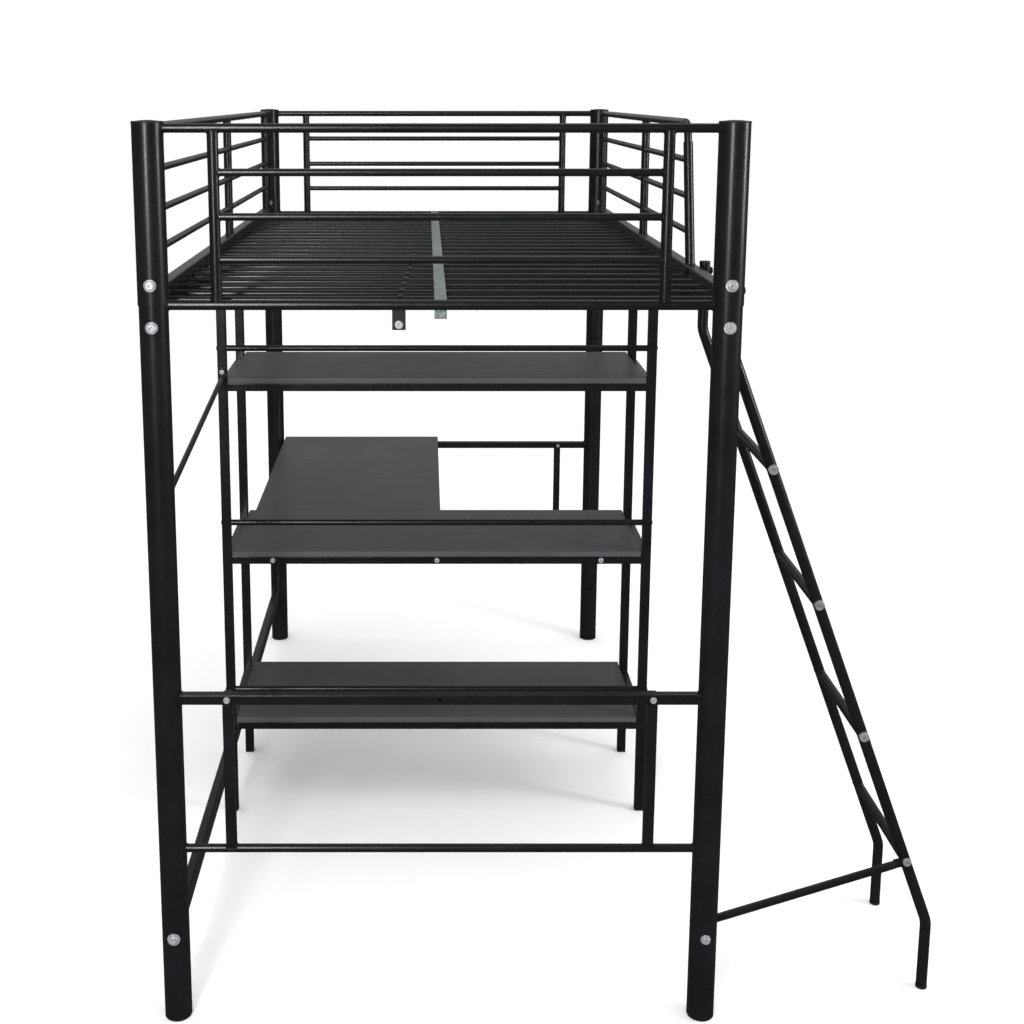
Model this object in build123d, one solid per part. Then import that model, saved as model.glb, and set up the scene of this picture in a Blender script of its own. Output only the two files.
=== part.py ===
from build123d import *
import os
import math

# Loft bed with a desk and a shelf unit below it, in bolted and welded steel tube.
# Working coordinates while building: X from the bed's centre line (+X is the
# ladder side, -X the wall side), Y from the centre plane of the near pair of
# posts (+Y along the bed), Z up from the floor. Everything is moved once, at
# the end, so that the origin is the bottom centre of the whole object.

# ------------------------------------------------------------ driving dimensions (mm)
POST_X = 525.0            # half the distance between post centre lines, across
POST_Y = 1940.0           # distance between post centre lines, along
POST_H = 1778.0           # floor to the top of the post caps
LOWER_D, LOWER_T = 54.0, 1.5      # lower post tube
UPPER_D, UPPER_T = 57.0, 1.35     # upper post tube, slides over the lower one
SPLIT_Z = 1444.0          # lower edge of the upper post tube
LOWER_TOP_Z = 1522.0      # top of the lower tube, inside the upper one

TOP_RAIL_D = 17.0         # guard top rails
TOP_RAIL_Z = 1763.5
GUARD_POST_D = 20.5       # guard uprights
GUARD_BAR_D = 14.0        # guard bars
END_BAR_Z = (1684.7, 1604.8, 1526.7)
SIDE_BAR_Z = (1685.0, 1608.5, 1534.5)
END_UPRIGHT_X = 409.0
DECK_RAIL_D = 19.0        # round rail across each end at deck level
DECK_Z = 1444.0           # centre of the end deck rail and of the slats

SIDE_X = 534.5            # centre of the side rails and of the side guards
SIDE_W, SIDE_H, SIDE_T = 25.0, 40.0, 1.5
SIDE_TOP_Z = 1468.0
SLAT_D, SLAT_T = 16.0, 1.0
SLAT_COUNT = 23
SLAT_Y0, SLAT_Y1 = 60.0, 1880.0

STRETCH_Z = 677.5         # desk-level stretcher across each end
SQ, SQ_T = 20.0, 1.4      # square tube
LOW_RAIL_D, LOW_RAIL_Z = 16.5, 363.0
PANEL_T = 13.0
SHELF_TOP_Z = (1142.3, 700.5, 258.2)
SHELF_UP = 22.0           # shelf unit uprights, square tube
SHELF_X = 524.0
SHELF_Y = (802.0, 1123.0)
SHELF_PANEL_X = 510.0
SHELF_PANEL_Y = (791.0, 1139.5)
RETAIN_D, RETAIN_UP = 15.0, 72.6

DESK_X = (-494.0, 12.0)
DESK_Y = (1140.0, 1958.0)
DESK_BAR_X = (-410.0, 0.0)

WALL_RAIL_X, WALL_RAIL_Z = -527.0, 181.5
WALL_RAIL_W, WALL_RAIL_H = 20.0, 40.0

LADDER_X = 558.5          # upright top part of the ladder rails
LADDER_Y = (84.0, 382.0)
LADDER_D, LADDER_T = 22.0, 1.5
LADDER_TOP_Z = 1474.0
LADDER_BEND_Z = 1334.0
LADDER_FOOT_BEND_Z = 150.0
LADDER_SLOPE = 0.3737     # sideways run per unit of drop
RUNG_D = 20.0
RUNG_Z = (1113.0, 838.5, 562.0, 291.5)

POST_BOLT_Z = (1483.0, 1405.5)
LOW_BOLT_Z = 181.5
BOLT_D = 8.0              # M8 shanks
HOLE_D = 8.6
SMALL_D, SMALL_HOLE = 6.0, 6.5   # M6 shanks
STRETCH_BOLT_X = 410.0

R_LOW, R_UP = LOWER_D / 2, UPPER_D / 2
FAR = POST_Y


# ------------------------------------------------------------ helpers
def V(p):
    return Vector(*p)


def axis_plane(p, q, up=(0, 0, 1)):
    """A plane at p whose normal runs to q, with its Y as near to up as it can be."""
    n = (V(q) - V(p)).normalized()
    u = V(up)
    x = u.cross(n)
    if x.length < 1e-6:
        x = Vector(1, 0, 0)
    return Plane(origin=p, x_dir=x.normalized(), z_dir=n)


def length(p, q):
    return (V(q) - V(p)).length


def round_tube(p, q, d, t):
    sk = Circle(d / 2) - Circle(d / 2 - t)
    return extrude(axis_plane(p, q) * sk, amount=length(p, q))


def round_bar(p, q, d):
    return extrude(axis_plane(p, q) * Circle(d / 2), amount=length(p, q))


def box_tube(p, q, w, h, t, r=2.0, up=(0, 0, 1)):
    """Rectangular tube from p to q: h along up, w across, corner radius r."""
    sk = RectangleRounded(w, h, r) - RectangleRounded(w - 2 * t, h - 2 * t, max(r - t, 0.4))
    return extrude(axis_plane(p, q, up) * sk, amount=length(p, q))


def bent_tube(points, radius, d, t):
    path = FilletPolyline(*points, radius=radius)
    start = Plane(origin=path @ 0, z_dir=path % 0)
    outer = sweep(start * Circle(d / 2), path=path)
    inner = sweep(start * Circle(d / 2 - t), path=path)
    return outer - inner


def box(x0, x1, y0, y1, z0, z1):
    return Pos((x0 + x1) / 2, (y0 + y1) / 2, (z0 + z1) / 2) * Box(x1 - x0, y1 - y0, z1 - z0)


def solids_of(shapes):
    out = []
    for s in shapes if isinstance(shapes, (list, tuple)) else [shapes]:
        out.extend(s.solids())
    return out


def cut(shape, *tools):
    for t in tools:
        shape = shape - t
    return shape


def post_solid(sx, y, z0=-10.0, z1=1800.0, r=R_UP):
    return round_bar((sx * POST_X, y, z0), (sx * POST_X, y, z1), 2 * r)


NODES = {}


def add(name, shapes):
    NODES[name] = solids_of(shapes)


SIDES = (-1, 1)
ENDS = ((0.0, -1), (FAR, 1))      # Y of the post pair, and the outward direction

# ------------------------------------------------------------ posts
lower, upper, caps, feet = [], [], [], []
for sx in SIDES:
    for y, out in ENDS:
        x = sx * POST_X
        tube = round_tube((x, y, 5.0), (x, y, LOWER_TOP_Z), LOWER_D, LOWER_T)
        for z in POST_BOLT_Z + (LOW_BOLT_Z,):
            tube = tube - round_bar((x, y - 40, z), (x, y + 40, z), HOLE_D)
        # spare hole for the brace on the inner face, on every post alike
        tube = tube - round_bar((x - sx * 40, y, 985.0), (x, y, 985.0), SMALL_HOLE)
        lower.append(tube)
        top = round_tube((x, y, SPLIT_Z), (x, y, POST_H - 5.0), UPPER_D, UPPER_T)
        top = top - round_bar((x, y - 40, POST_BOLT_Z[0]), (x, y + 40, POST_BOLT_Z[0]), HOLE_D)
        upper.append(top)
        # push-in cap: a rim, a low dome and a plug inside the tube
        rim = round_bar((x, y, POST_H - 5.0), (x, y, POST_H - 2.0), UPPER_D + 1.0)
        rim = fillet(rim.edges().filter_by(GeomType.CIRCLE).group_by(Axis.Z)[-1], 1.4)
        dome_r = (26.0 ** 2 + 2.4 ** 2) / (2 * 2.4)
        dome = Pos(x, y, POST_H - dome_r) * Sphere(dome_r)
        dome = dome & round_bar((x, y, POST_H - 3.5), (x, y, POST_H + 5), 51.0)
        plug = round_tube((x, y, POST_H - 30.0), (x, y, POST_H - 6.0), UPPER_D - 2 * UPPER_T - 0.4, 2.0)
        caps.append(rim + dome + plug)
        base = round_bar((x, y, 0.0), (x, y, 5.0), LOWER_D)
        base = fillet(base.edges().filter_by(GeomType.CIRCLE).group_by(Axis.Z)[0], 2.0)
        plug = round_tube((x, y, 4.0), (x, y, 26.0), LOWER_D - 2 * LOWER_T - 0.4, 2.0)
        feet.append(base + plug)
add("post_lower_tubes", lower)
add("post_upper_tubes", upper)
add("post_top_caps", caps)
add("post_foot_caps", feet)

# ------------------------------------------------------------ end frames
for (y, out), tag in zip(ENDS, ("near", "far")):
    posts = [post_solid(s, y) for s in SIDES]
    low_posts = [post_solid(s, y, r=R_LOW) for s in SIDES]
    reach = POST_X - 24.0
    top = cut(round_tube((-reach, y, TOP_RAIL_Z), (reach, y, TOP_RAIL_Z), TOP_RAIL_D, 1.2), *posts)
    deck = cut(round_tube((-reach, y, DECK_Z), (reach, y, DECK_Z), DECK_RAIL_D, 1.5), *posts)
    add(f"{tag}_end_top_rail", top)
    add(f"{tag}_end_deck_rail", deck)
    top_s = round_bar((-reach, y, TOP_RAIL_Z), (reach, y, TOP_RAIL_Z), TOP_RAIL_D)
    deck_s = round_bar((-reach, y, DECK_Z), (reach, y, DECK_Z), DECK_RAIL_D)
    ups, up_solid = [], []
    for sx in SIDES:
        x = sx * END_UPRIGHT_X
        ups.append(cut(round_tube((x, y, DECK_Z + 6.0), (x, y, TOP_RAIL_Z - 4.0), GUARD_POST_D, 1.2), top_s, deck_s))
        up_solid.append(round_bar((x, y, DECK_Z), (x, y, TOP_RAIL_Z), GUARD_POST_D))
    add(f"{tag}_end_guard_uprights", ups)
    bars = []
    for z in END_BAR_Z:
        b = round_tube((-END_UPRIGHT_X + 6, y, z), (END_UPRIGHT_X - 6, y, z), GUARD_BAR_D, 1.0)
        bars.append(cut(b, *up_solid))
    add(f"{tag}_end_guard_bars", bars)
    # desk-level stretcher with bolt holes
    st = cut(box_tube((-reach, y, STRETCH_Z), (reach, y, STRETCH_Z), SQ, SQ, SQ_T), *low_posts)
    for hx in (-STRETCH_BOLT_X, 0.0, STRETCH_BOLT_X):
        st = st - round_bar((hx, y - 20, STRETCH_Z), (hx, y + 20, STRETCH_Z), SMALL_HOLE)
    add(f"{tag}_end_stretcher", st)
    low = cut(round_tube((-reach, y, LOW_RAIL_Z), (reach, y, LOW_RAIL_Z), LOW_RAIL_D, 1.2), *low_posts)
    add(f"{tag}_end_lower_rail", low)
    low_s = round_bar((-reach, y, LOW_RAIL_Z), (reach, y, LOW_RAIL_Z), LOW_RAIL_D)
    posts2 = []
    for sx in SIDES:
        x = sx * END_UPRIGHT_X
        z_top = STRETCH_Z - SQ / 2 - 0.2
        up = box_tube((x, y, LOW_RAIL_Z + 3.0), (x, y, z_top), SQ, SQ, SQ_T, up=(0, 1, 0))
        up = up - low_s
        # tab on the inner face that takes the stretcher bolt
        yi = y - out * SQ / 2
        tab = box(x - 9, x + 9, min(yi, yi - out * 3.0), max(yi, yi - out * 3.0), z_top - 22, STRETCH_Z + 10)
        tab = tab - round_bar((sx * STRETCH_BOLT_X, y - 30, STRETCH_Z), (sx * STRETCH_BOLT_X, y + 30, STRETCH_Z), SMALL_HOLE)
        posts2.append(up + tab)
    add(f"{tag}_end_lower_uprights", posts2)

# ------------------------------------------------------------ side rails and their brackets
BR_T = 3.0
rails, brackets = {}, []
for sx in SIDES:
    x = sx * SIDE_X
    zc = SIDE_TOP_Z - SIDE_H / 2
    r = box_tube((x, 2.0, zc), (x, FAR - 2.0, zc), SIDE_W, SIDE_H, SIDE_T, r=3.0)
    for y, out in ENDS:
        r = r - post_solid(sx, y, r=R_UP + 0.1 + BR_T)
    rails[sx] = r
    for y, out in ENDS:
        inner = post_solid(sx, y, 1385.0, 1503.0, R_UP + 0.1)
        shell = post_solid(sx, y, 1388.0, 1500.0, R_UP + 0.1 + BR_T) - inner
        # keep the part of the ring that faces along the bed
        yi = y - out * 14.0
        keep = box(sx * POST_X - 23.0, sx * POST_X + 23.0, min(yi, y - out * 40), max(yi, y - out * 40), 1388.0, 1500.0)
        b = shell & keep
        for z in POST_BOLT_Z:
            b = b - round_bar((sx * POST_X, y - 40, z), (sx * POST_X, y + 40, z), HOLE_D)
        brackets.append(b)
add("wall_side_rail", rails[-1])
add("ladder_side_rail", rails[1])
add("side_rail_brackets", brackets)

# ------------------------------------------------------------ slats, tie strip, support bar
slat_half = SIDE_X - SIDE_W / 2
step = (SLAT_Y1 - SLAT_Y0) / (SLAT_COUNT - 1)
slat_y = [SLAT_Y0 + i * step for i in range(SLAT_COUNT)]
add("slats", [round_tube((-slat_half, y, DECK_Z), (slat_half, y, DECK_Z), SLAT_D, SLAT_T) for y in slat_y])

slat_top = DECK_Z + SLAT_D / 2
slat_bot = DECK_Z - SLAT_D / 2
# galvanised strip on top of the slats, its ends turned down inside the end rails
T_W, T_T = 23.0, 1.2
y0, y1 = 14.0, FAR - 14.0
strip = box(-T_W / 2, T_W / 2, y0, y1, slat_top, slat_top + T_T)
for ye, inward in ((y0, 1), (y1, -1)):
    strip = strip + box(-T_W / 2, T_W / 2, min(ye, ye + inward * T_T), max(ye, ye + inward * T_T), 1416.0, slat_top + T_T)
add("slat_tie_strip", strip)

# flat support bar under the slats, a little off square, with its near end turned down
B_W, B_T = 25.0, 3.0
bx0, bx1 = -77.0, -20.0
bar_dir = V((bx1 - bx0, (FAR - 40.0) - 20.0, 0)).normalized()
ang = math.degrees(math.atan2(bx1 - bx0, FAR - 60.0))
bar_len = length((bx0, 20.0, 0), (bx1, FAR - 40.0, 0))
bar_loc = Pos(bx0, 20.0, 0) * Rot(0, 0, -ang)
bar = bar_loc * box(-B_W / 2, B_W / 2, 0, bar_len, slat_bot - B_T, slat_bot)
tab = bar_loc * box(-B_W / 2, B_W / 2, 0, B_T, 1394.0, slat_bot)
bar = bar + tab
bar = bar - (bar_loc * round_bar((0, -10, 1404.0), (0, 10, 1404.0), SMALL_HOLE))


def on_bar(y):
    """X of the support bar's centre line where it crosses the line Y = y."""
    return bx0 + (y - 20.0) * (bx1 - bx0) / (FAR - 60.0)


for y in slat_y:
    bar = bar - round_bar((on_bar(y), y, slat_bot - 8), (on_bar(y), y, slat_bot + 1), 5.2)
add("slat_support_bar", bar)

rivets = []
slat_cutters = []
for y in slat_y:
    x = on_bar(y)
    shank = round_bar((x, y, slat_bot - B_T - 0.5), (x, y, slat_top + 0.6), 5.0)
    head = round_bar((x, y, slat_bot - B_T - 1.8), (x, y, slat_bot - B_T), 9.0)
    top = round_bar((x, y, slat_top - 0.1), (x, y, slat_top + 1.8), 9.0)
    top = fillet(top.edges().filter_by(GeomType.CIRCLE).group_by(Axis.Z)[-1], 1.2)
    rivets.append(shank + head + top)
    slat_cutters.append(round_bar((x, y, slat_bot - 3), (x, y, slat_top + 3), 5.2))
NODES["slats"] = solids_of([cut(Part() + s, c) for s, c in zip(NODES["slats"], slat_cutters)])
rivets = [cut(r, round_bar((-slat_half, y, DECK_Z), (slat_half, y, DECK_Z), SLAT_D) - round_bar((on_bar(y), y, slat_bot - 9), (on_bar(y), y, slat_top + 9), 5.01)) for r, y in zip(rivets, slat_y)]
add("slat_bar_rivets", rivets)

# ------------------------------------------------------------ side guards
def side_guard(sx, y_lo, y_mid, y_hi, slant_top=None):
    """Top rail, bars and uprights of one side guard. With slant_top, the near
    end is one tube bent down from the top rail to the side rail."""
    x = sx * SIDE_X
    zr = SIDE_TOP_Z
    far_post = post_solid(sx, FAR)
    near_post = post_solid(sx, 0.0)
    if slant_top is None:
        top = round_tube((x, 5.0, TOP_RAIL_Z), (x, FAR - 5.0, TOP_RAIL_Z), TOP_RAIL_D, 1.2)
        top = cut(top, far_post, near_post)
        top_s = round_bar((x, 5.0, TOP_RAIL_Z), (x, FAR - 5.0, TOP_RAIL_Z), TOP_RAIL_D)
        slant_s = None
    else:
        foot, elbow = (x, y_lo, zr - 12.0), (x, slant_top, TOP_RAIL_Z)
        f0 = (TOP_RAIL_Z - 1680.0) / (TOP_RAIL_Z - foot[2])
        stub = tuple(V(elbow) + (V(foot) - V(elbow)) * f0)
        f1 = (TOP_RAIL_Z - 1722.0) / (TOP_RAIL_Z - foot[2])
        mouth = tuple(V(elbow) + (V(foot) - V(elbow)) * f1)
        top = cut(bent_tube([(x, FAR - 5.0, TOP_RAIL_Z), elbow, stub], 34.0, TOP_RAIL_D, 1.2), far_post)
        # the bent end of the top rail sits inside the wider slanted tube
        slanted = round_tube(foot, mouth, GUARD_POST_D, (GUARD_POST_D - TOP_RAIL_D) / 2 - 0.1)
        slanted = slanted - box(x - 30, x + 30, y_lo - 60, y_lo + 60, zr - 60, zr)
        top_s = round_bar((x, slant_top + 60, TOP_RAIL_Z), (x, FAR - 5.0, TOP_RAIL_Z), TOP_RAIL_D)
        slant_s = round_bar(foot, elbow, GUARD_POST_D)
    ups = [y_mid, y_hi] if slant_top is not None else [y_lo, y_mid, y_hi]
    up_list, up_solid = [], []
    if slant_top is not None:
        up_list.append(slanted)
    for y in ups:
        up_list.append(cut(round_tube((x, y, zr), (x, y, TOP_RAIL_Z - 4.0), GUARD_POST_D, 1.2), top_s))
        up_solid.append(round_bar((x, y, zr - 1), (x, y, TOP_RAIL_Z), GUARD_POST_D))
    bars = []
    for z in SIDE_BAR_Z:
        if slant_top is not None:
            # where the slanted tube's centre line is at this height
            f = (TOP_RAIL_Z - z) / (TOP_RAIL_Z - (zr - 12.0))
            ys = slant_top + (y_lo - slant_top) * f
            spans = [(ys + 5.0, y_mid), (y_mid, y_hi)]
        else:
            spans = [(y_lo, y_mid), (y_mid, y_hi)]
        for a, b in spans:
            a2 = a if (slant_top is not None and a == spans[0][0]) else a + 6
            t = round_tube((x, a2, z), (x, b - 6, z), GUARD_BAR_D, 1.0)
            t = cut(t, *up_solid)
            if slant_s is not None:
                t = t - slant_s
            bars.append(t)
    return top, up_list, bars


top, ups, bars = side_guard(-1, 51.0, 1056.0, FAR - 51.0)
add("wall_guard_top_rail", top)
add("wall_guard_uprights", ups)
add("wall_guard_bars", bars)
top, ups, bars = side_guard(1, 416.0, 1056.0, FAR - 51.0, slant_top=497.0)
add("ladder_guard_bent_rail", top)
add("ladder_guard_uprights", ups)
add("ladder_guard_bars", bars)

# ------------------------------------------------------------ shelf unit
s_up = []
UP_TOP = SIDE_TOP_Z - SIDE_H - 3.0
for sx in SIDES:
    for y in SHELF_Y:
        x = sx * SHELF_X
        tube = box_tube((x, y, 3.0), (x, y, UP_TOP), SHELF_UP, SHELF_UP, 1.4, up=(0, 1, 0))
        # welded top plate that is screwed up into the side rail
        xa, xb = sorted((sx * (SHELF_X - 11), sx * (SIDE_X + SIDE_W / 2)))
        plate = box(xa, xb, y - 18, y + 18, UP_TOP, UP_TOP + 3.0)
        s_up.append(tube + plate)
cross, sides_r, retain, joists = [], [], [], []
for zt in SHELF_TOP_Z:
    zc = zt - PANEL_T - SQ / 2
    for y in SHELF_Y:
        t = box_tube((-SHELF_X + 11, y, zc), (SHELF_X - 11, y, zc), SQ, SQ, SQ_T)
        if zt == SHELF_TOP_Z[1] and y == SHELF_Y[0]:
            for hx in (-STRETCH_BOLT_X, 0.0, STRETCH_BOLT_X):
                t = t - round_bar((hx, y - 20, zc), (hx, y + 20, zc), SMALL_HOLE)
        if zt == SHELF_TOP_Z[1] and y == SHELF_Y[1]:
            for hx in (-STRETCH_BOLT_X, 0.0, STRETCH_BOLT_X):
                t = t - round_bar((hx, y - 20, zc), (hx, y + 20, zc), SMALL_HOLE)
        cross.append(t)
    for sx in SIDES:
        sides_r.append(box_tube((sx * SHELF_X, SHELF_Y[0] + 11, zc), (sx * SHELF_X, SHELF_Y[1] - 11, zc), SQ, SQ, SQ_T))
    zr = zt + RETAIN_UP
    retain.append(round_tube((-SHELF_X + 11, SHELF_Y[0], zr), (SHELF_X - 11, SHELF_Y[0], zr), RETAIN_D, 1.0))
for hx in (-STRETCH_BOLT_X, 0.0, STRETCH_BOLT_X):
    zc = SHELF_TOP_Z[1] - PANEL_T - SQ / 2
    j = box_tube((hx, SHELF_Y[0] + 10, zc), (hx, SHELF_Y[1] - 10, zc), SQ, SQ, SQ_T)
    joists.append(j)
add("shelf_uprights", s_up)
add("shelf_cross_rails", cross)
add("shelf_side_rails", sides_r)
add("shelf_retaining_rails", retain)
add("middle_shelf_joists", joists)
feet = []
for sx in SIDES:
    for y in SHELF_Y:
        x = sx * SHELF_X
        base = box(x - 11, x + 11, y - 11, y + 11, 0.0, 3.0)
        plug = box(x - 9.3, x + 9.3, y - 9.3, y + 9.3, 2.5, 18.0) - box(x - 7.5, x + 7.5, y - 7.5, y + 7.5, 5.0, 19.0)
        feet.append(base + plug)
add("shelf_foot_plugs", feet)


def panel(x0, x1, y0, y1, z_top):
    p = box(x0, x1, y0, y1, z_top - PANEL_T, z_top)
    p = chamfer(p.edges().group_by(Axis.Z)[-1], 0.8)
    return p


for zt, name in zip(SHELF_TOP_Z, ("top_shelf_panel", "middle_shelf_panel", "bottom_shelf_panel")):
    add(name, panel(-SHELF_PANEL_X, SHELF_PANEL_X, SHELF_PANEL_Y[0], SHELF_PANEL_Y[1], zt))

# ------------------------------------------------------------ desk
add("desk_panel", panel(DESK_X[0], DESK_X[1], DESK_Y[0], DESK_Y[1], SHELF_TOP_Z[1]))
desk_bars = []
for hx in DESK_BAR_X:
    # the outer bar stops at the tab of the end frame's lower upright
    y_end = FAR - SQ / 2 - (3.0 if hx < 0 else 0.0)
    desk_bars.append(box_tube((hx, SHELF_Y[1] + SQ / 2, STRETCH_Z), (hx, y_end, STRETCH_Z), SQ, SQ, SQ_T))
add("desk_support_bars", desk_bars)

# ------------------------------------------------------------ wall-side lower rail
# three lengths in line: post to shelf unit, inside the shelf unit, shelf unit to post
spans = ((2.0, SHELF_Y[0] - 11.0), (SHELF_Y[0] + 11.0, SHELF_Y[1] - 11.0), (SHELF_Y[1] + 11.0, FAR - 2.0))
wall_rails, wb = [], []
for ya, yb in spans:
    seg = box_tube((WALL_RAIL_X, ya, WALL_RAIL_Z), (WALL_RAIL_X, yb, WALL_RAIL_Z), WALL_RAIL_W, WALL_RAIL_H, 1.5, r=3.0)
    hw, hh = WALL_RAIL_W / 2 - 1.0, WALL_RAIL_H / 2 - 1.0
    for ye, inward in ((ya, 1), (yb, -1)):
        if 10.0 < ye < FAR - 10.0:
            # closing plate where the rail is screwed to a shelf upright
            seg = seg + box(WALL_RAIL_X - hw, WALL_RAIL_X + hw, min(ye, ye + 2.0 * inward), max(ye, ye + 2.0 * inward), WALL_RAIL_Z - hh, WALL_RAIL_Z + hh)
    for y, out in ENDS:
        seg = seg - post_solid(-1, y, r=R_LOW + 0.1 + BR_T)
        # slot on the inner face of the open end, to reach the nut of the post bolt
        yi = y - out * 44.0
        seg = seg - box(WALL_RAIL_X - WALL_RAIL_W / 2 + 1.6, WALL_RAIL_X + WALL_RAIL_W / 2 + 5.0, min(yi, y), max(yi, y), LOW_BOLT_Z - 9.0, LOW_BOLT_Z + 9.0)
    wall_rails.append(seg)
for y, out in ENDS:
    inner = post_solid(-1, y, 140.0, 230.0, R_LOW + 0.1)
    shell = post_solid(-1, y, 159.0, 204.0, R_LOW + 0.1 + BR_T) - inner
    yi = y - out * 12.0
    keep = box(-POST_X - 22.0, -POST_X + 22.0, min(yi, y - out * 40), max(yi, y - out * 40), 150.0, 210.0)
    b = (shell & keep) - round_bar((-POST_X, y - 40, LOW_BOLT_Z), (-POST_X, y + 40, LOW_BOLT_Z), HOLE_D)
    wb.append(b)
add("wall_lower_rails", wall_rails)
add("wall_lower_rail_brackets", wb)

# ------------------------------------------------------------ brace from the near wall post to the shelf unit
bz0, bz1 = 1057.0, 1143.0
by0, by1 = R_LOW + 2.0, SHELF_Y[0] - 11.0 - 2.0
bx = -SHELF_X
p0, p1 = (bx, by0 + 16.0, bz0 + 1.8), (bx, by1 - 16.0, bz1 - 1.8)
brace = round_bar(p0, p1, 12.0) - round_bar(p0, p1, 9.6)
lug0 = box(bx - 9, bx + 9, by0 - 2.0, by0, bz0 - 25, bz0 + 9)
lug1 = box(bx - 9, bx + 9, by1, by1 + 2.0, bz1 - 9, bz1 + 25)
BRACE_BOLT_Z = (bz0 - 15.0, bz1 + 15.0)
web0 = round_bar((bx, by0 - 0.5, bz0), (p0[0], p0[1] + 2.0, p0[2] + 0.2), 9.6)
web1 = round_bar((p1[0], p1[1] - 2.0, p1[2] - 0.2), (bx, by1 + 0.5, bz1), 9.6)
brace = (brace + lug0 + lug1 + web0 + web1) - post_solid(-1, 0.0, r=R_LOW)
brace = brace - round_bar((bx, 10.0, BRACE_BOLT_Z[0]), (bx, 60.0, BRACE_BOLT_Z[0]), SMALL_HOLE)
brace = brace - round_bar((bx, by1 - 30, BRACE_BOLT_Z[1]), (bx, by1 + 10, BRACE_BOLT_Z[1]), SMALL_HOLE)
near_wall_post = [i for i, t in enumerate(NODES["post_lower_tubes"]) if t.center().X < 0 and t.center().Y < 100][0]
NODES["post_lower_tubes"][near_wall_post] = solids_of(Part() + NODES["post_lower_tubes"][near_wall_post] - round_bar((bx, 0.0, BRACE_BOLT_Z[0]), (bx, 60.0, BRACE_BOLT_Z[0]), SMALL_HOLE))[0]
near_wall_up = [i for i, t in enumerate(NODES["shelf_uprights"]) if t.center().X < 0 and t.center().Y < SHELF_Y[0] + 50][0]
NODES["shelf_uprights"][near_wall_up] = solids_of(Part() + NODES["shelf_uprights"][near_wall_up] - round_bar((bx, by1, BRACE_BOLT_Z[1]), (bx, SHELF_Y[0], BRACE_BOLT_Z[1]), SMALL_HOLE))[0]
add("wall_side_brace", brace)

# ------------------------------------------------------------ ladder
def ladder_x(z):
    if z >= LADDER_BEND_Z:
        return LADDER_X
    z = max(z, LADDER_FOOT_BEND_Z)
    return LADDER_X + LADDER_SLOPE * (LADDER_BEND_Z - z)


def ladder_points(y):
    return [(LADDER_X, y, LADDER_TOP_Z), (LADDER_X, y, LADDER_BEND_Z),
            (ladder_x(LADDER_FOOT_BEND_Z), y, LADDER_FOOT_BEND_Z), (ladder_x(LADDER_FOOT_BEND_Z), y, 5.0)]


rung_holes = []
for z in RUNG_Z:
    rung_holes.append(round_bar((ladder_x(z), LADDER_Y[0] - 30, z), (ladder_x(z), LADDER_Y[1] + 30, z), HOLE_D))
hook_z = 1459.0
for y, tag in zip(LADDER_Y, ("near", "far")):
    rail = bent_tube(ladder_points(y), 60.0, LADDER_D, LADDER_T)
    rail = cut(rail, *rung_holes)
    rail = rail - round_bar((500.0, y, hook_z), (600.0, y, hook_z), HOLE_D)
    add(f"ladder_rail_{tag}", rail)
rail_solids = []
for y in LADDER_Y:
    rail_solids.append(round_bar((ladder_x(LADDER_FOOT_BEND_Z), y, LADDER_FOOT_BEND_Z), (LADDER_X, y, LADDER_BEND_Z), LADDER_D))
rungs = []
for z in RUNG_Z:
    x = ladder_x(z)
    r = round_tube((x, LADDER_Y[0] + 3, z), (x, LADDER_Y[1] - 3, z), RUNG_D, 1.5)
    rungs.append(cut(r, *rail_solids))
add("ladder_rungs", rungs)
# threaded inserts pressed into the rung ends
inserts = []
for z in RUNG_Z:
    x = ladder_x(z)
    for ya, yb in ((LADDER_Y[0] + 12.0, LADDER_Y[0] + 34.0), (LADDER_Y[1] - 34.0, LADDER_Y[1] - 12.0)):
        i = round_bar((x, ya, z), (x, yb, z), RUNG_D - 3.0) - round_bar((x, ya - 1, z), (x, yb + 1, z), BOLT_D + 0.1)
        inserts.append(i)
lc = []
for y in LADDER_Y:
    cap = round_bar((LADDER_X, y, LADDER_TOP_Z), (LADDER_X, y, LADDER_TOP_Z + 5.0), LADDER_D + 1.0)
    cap = fillet(cap.edges().filter_by(GeomType.CIRCLE).group_by(Axis.Z)[-1], 2.2)
    lc.append(cap + round_bar((LADDER_X, y, LADDER_TOP_Z - 8), (LADDER_X, y, LADDER_TOP_Z + 1), LADDER_D - 2 * LADDER_T - 0.3))
    fx = ladder_x(LADDER_FOOT_BEND_Z)
    foot = round_bar((fx, y, 0.0), (fx, y, 5.0), LADDER_D + 1.0)
    foot = fillet(foot.edges().filter_by(GeomType.CIRCLE).group_by(Axis.Z)[0], 1.5)
    lc.append(foot + round_bar((fx, y, 4.0), (fx, y, 22.0), LADDER_D - 2 * LADDER_T - 0.3))
add("ladder_end_caps", lc)

# ladder brace: tube with flattened ends, from the near post to the near ladder rail
lb_z = RUNG_Z[3]
q0 = (POST_X, R_LOW + 1.5, LOW_BOLT_Z)
q1 = (ladder_x(lb_z), LADDER_Y[0] - LADDER_D / 2 - 1.6, lb_z)
d = (V(q1) - V(q0)).normalized()
a = V(q0) + d * 34.0
b = V(q1) - d * 30.0
tube = round_bar(tuple(a), tuple(b), 16.0) - round_bar(tuple(a), tuple(b), 13.0)


def flat_end(center, toward, w, t, run):
    """A flattened tube end: a plate normal to Y with a round end, hole included."""
    c, u = V(center), V(toward)
    tip = Pos(*center) * (Rot(90, 0, 0) * Cylinder(w / 2, t))
    n = (u - c).normalized()
    ang = math.degrees(math.atan2(n.Z, n.X))
    plate = Pos(*center) * Rot(0, -ang, 0) * (Pos(run / 2, 0, 0) * Box(run, t, w))
    return tip + plate


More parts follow.
